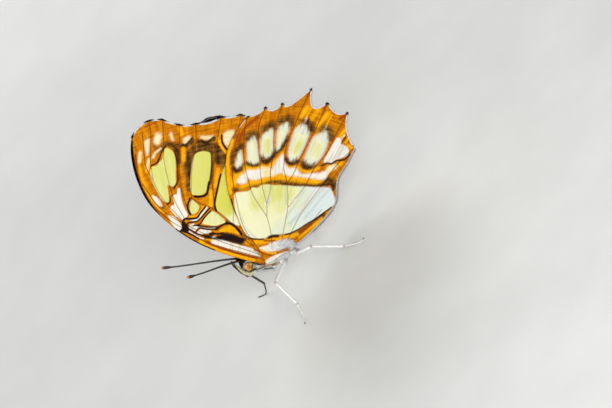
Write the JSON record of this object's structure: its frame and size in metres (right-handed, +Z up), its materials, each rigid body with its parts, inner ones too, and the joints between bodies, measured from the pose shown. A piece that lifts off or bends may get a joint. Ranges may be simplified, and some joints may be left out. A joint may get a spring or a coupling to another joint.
{
  "type": "malachite butterfly",
  "caption": "Malachite butterfly standing with its wings closed upright over its back, feelers raised and long pale legs spread.",
  "frame": {"origin": "on the floor the feet stand on, under the middle of the whole butterfly's box", "axes": "+X points to the tail and the wings' rear edges, the head faces -X, +Y is the butterfly's right side, +Z is up"},
  "size_m": [0.0546, 0.0262, 0.0598],
  "materials": {
    "body_hair": "soft hair over horn",
    "eye": "satin facets",
    "feeler": "fine scales",
    "leg": "fine scales",
    "palp_scales": "long flat scales",
    "tongue": "satin horn",
    "forewing_scales": "matt wing scales",
    "hindwing_scales": "matt wing scales"
  },
  "bodies": {
    "root": {"abdomen": "body_hair", "antenna_left": "feeler", "antenna_right": "feeler", "eye_left": "eye", "eye_right": "eye", "foreleg_left": "leg", "foreleg_right": "leg", "forewing_left": "forewing_scales", "forewing_right": "forewing_scales", "head": "body_hair", "hindleg_left_femur": "leg", "hindleg_left_tarsus": "leg", "hindleg_left_tibia": "leg", "hindleg_right_femur": "leg", "hindleg_right_tarsus": "leg", "hindleg_right_tibia": "leg", "hindwing_left": "hindwing_scales", "hindwing_right": "hindwing_scales", "midleg_left_femur": "leg", "midleg_left_tarsus": "leg", "midleg_left_tibia": "leg", "midleg_right_femur": "leg", "midleg_right_tarsus": "leg", "midleg_right_tibia": "leg", "palp_left": "palp_scales", "palp_right": "palp_scales", "proboscis": "tongue", "thorax": "body_hair"}
  },
  "joints": []
}
